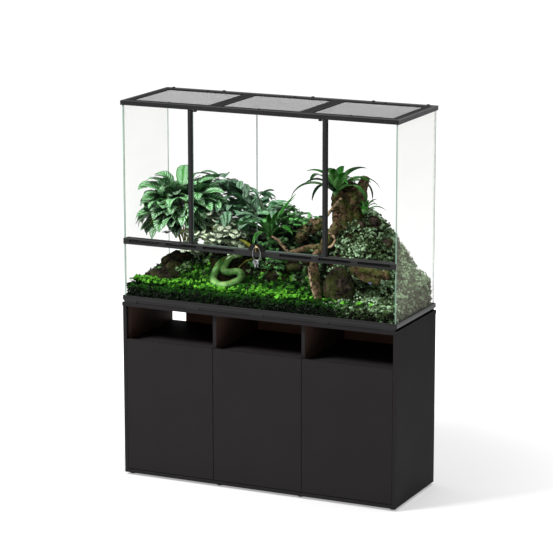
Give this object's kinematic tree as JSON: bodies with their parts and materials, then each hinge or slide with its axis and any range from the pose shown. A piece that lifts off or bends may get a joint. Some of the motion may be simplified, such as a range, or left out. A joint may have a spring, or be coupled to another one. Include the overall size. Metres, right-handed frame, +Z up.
{
  "type": "planted terrarium on a cabinet",
  "caption": "Glass terrarium with hinged front doors, vent bar, mesh lids and planting, standing on a black cabinet with open niches and cupboard doors.",
  "frame": {"origin": "middle of the cabinet's footprint, on the floor that its feet stand on", "axes": "+Z up, -Y out of the front with the doors, +X to the right seen from the front"},
  "size_m": [1.214, 0.4428, 1.567],
  "materials": {
    "carcass_board": "black melamine over chipboard, fine emboss",
    "door_board": "black melamine over chipboard, fine emboss",
    "back_board": "thin dark hardboard",
    "hinge_steel": "nickel-plated pressed steel",
    "latch_plastic": "grey moulded plastic",
    "plunger_plastic": "pale moulded plastic",
    "foot_plastic": "black moulded plastic",
    "frame_plastic": "charcoal moulded plastic, light grain",
    "glass": "clear float glass with green edges",
    "grille_plastic": "black moulded plastic",
    "post_plastic": "black extruded plastic",
    "lock_plastic": "black moulded plastic",
    "brass": "turned brass",
    "key_steel": "nickel-plated steel",
    "lid_plastic": "charcoal moulded plastic",
    "mesh_steel": "woven stainless steel mesh",
    "inlet_rubber": "black rubber",
    "soil": "dark loose soil",
    "bank_moss": "moss and ivy over dark earth",
    "green_carpet": "low clover-like green carpet",
    "driftwood": "weathered grey-brown root wood",
    "stone": "rough brown and grey stone",
    "broad_leaf": "glossy broad leaves with pale veins",
    "arching_leaf": "dark arching leaves",
    "rosette_leaf": "glossy strap leaves",
    "snake_skin": "green scales with small red spots"
  },
  "bodies": {
    "root": {"left_side_panel": "carcass_board", "right_side_panel": "carcass_board", "top_panel": "carcass_board", "bottom_panel": "carcass_board", "divider_left": "carcass_board", "divider_right": "carcass_board", "niche_shelves": "carcass_board", "back_panel": "back_board", "hinge_arms": "hinge_steel", "latch_bodies": "latch_plastic", "cabinet_feet": "foot_plastic", "base_frame": "frame_plastic", "base_frame_feet": "foot_plastic", "bottom_glass": "glass", "left_glass": "glass", "right_glass": "glass", "back_glass": "glass", "lower_front_glass": "glass", "fixed_pane_left": "glass", "fixed_pane_right": "glass", "vent_bar": "frame_plastic", "vent_grilles": "grille_plastic", "hinge_post_left": "post_plastic", "hinge_post_right": "post_plastic", "top_frame": "frame_plastic", "cable_inlets": "inlet_rubber", "soil_bed": "soil", "earth_bank": "bank_moss", "ground_cover": "green_carpet", "driftwood": "driftwood", "rocks": "stone", "leafy_plant": "broad_leaf", "arching_plant": "arching_leaf", "rosette_plants": "rosette_leaf", "snake": "snake_skin"},
    "cab_door_left": {"door_left": "door_board", "hinge_cups_left": "hinge_steel"},
    "cab_door_middle": {"door_middle": "door_board", "hinge_cups_middle": "hinge_steel"},
    "cab_door_right": {"door_right": "door_board", "hinge_cups_right": "hinge_steel"},
    "plunger_left": {"latch_plunger_left": "plunger_plastic"},
    "plunger_middle": {"latch_plunger_middle": "plunger_plastic"},
    "plunger_right": {"latch_plunger_right": "plunger_plastic"},
    "glass_leaf_left": {"glass_door_left": "glass", "door_pivots_left": "post_plastic", "door_catch": "lock_plastic"},
    "glass_leaf_right": {"glass_door_right": "glass", "door_pivots_right": "post_plastic", "lock_housing": "lock_plastic"},
    "lock_barrel": {"lock_cylinder": "brass", "lock_key": "brass"},
    "ring": {"key_ring": "key_steel"},
    "spares": {"spare_keys": "key_steel"},
    "lid_left": {"lid_frame_left": "lid_plastic", "lid_mesh_left": "mesh_steel"},
    "lid_middle": {"lid_frame_middle": "lid_plastic", "lid_mesh_middle": "mesh_steel"},
    "lid_right": {"lid_frame_right": "lid_plastic", "lid_mesh_right": "mesh_steel"}
  },
  "joints": [
    {"name": "cab_door_left_hinge", "type": "hinge", "parent": "root", "child": "cab_door_left", "pos_m": [-0.58875, -0.205, 0.3], "axis": [0, 0, -1], "range_deg": [0, 105]},
    {"name": "cab_door_middle_hinge", "type": "hinge", "parent": "root", "child": "cab_door_middle", "pos_m": [-0.19542, -0.205, 0.3], "axis": [0, 0, -1], "range_deg": [0, 105]},
    {"name": "cab_door_right_hinge", "type": "hinge", "parent": "root", "child": "cab_door_right", "pos_m": [0.58875, -0.205, 0.3], "axis": [0, 0, 1], "range_deg": [0, 105]},
    {"name": "latch_left_press", "type": "slide", "parent": "root", "child": "plunger_left", "axis": [0, 1, 0], "range_m": [0, 0.003], "stiffness_N_per_m": 300},
    {"name": "latch_middle_press", "type": "slide", "parent": "root", "child": "plunger_middle", "axis": [0, 1, 0], "range_m": [0, 0.003], "stiffness_N_per_m": 300},
    {"name": "latch_right_press", "type": "slide", "parent": "root", "child": "plunger_right", "axis": [0, 1, 0], "range_m": [0, 0.003], "stiffness_N_per_m": 300},
    {"name": "glass_door_left_hinge", "type": "hinge", "parent": "root", "child": "glass_leaf_left", "pos_m": [-0.2725, -0.1958, 1.27], "axis": [0, 0, -1], "range_deg": [0, 100]},
    {"name": "glass_door_right_hinge", "type": "hinge", "parent": "root", "child": "glass_leaf_right", "pos_m": [0.2725, -0.1958, 1.27], "axis": [0, 0, 1], "range_deg": [0, 100]},
    {"name": "lock_turn", "type": "hinge", "parent": "glass_leaf_right", "child": "lock_barrel", "pos_m": [0.0115, -0.2068, 1.0125], "axis": [0, 1, 0], "range_deg": [0, 90]},
    {"name": "ring_swing", "type": "hinge", "parent": "lock_barrel", "child": "ring", "pos_m": [0.0115, -0.2278, 1.0202], "axis": [-1, 0, 0], "range_deg": [-6, 75]},
    {"name": "spares_swing", "type": "hinge", "parent": "ring", "child": "spares", "pos_m": [0.0115, -0.2278, 0.96615], "axis": [-1, 0, 0], "range_deg": [-12, 40]},
    {"name": "lid_left_lift", "type": "slide", "parent": "root", "child": "lid_left", "axis": [0, 0, 1], "range_m": [0, 0.12]},
    {"name": "lid_middle_lift", "type": "slide", "parent": "root", "child": "lid_middle", "axis": [0, 0, 1], "range_m": [0, 0.12]},
    {"name": "lid_right_lift", "type": "slide", "parent": "root", "child": "lid_right", "axis": [0, 0, 1], "range_m": [0, 0.12]}
  ]
}
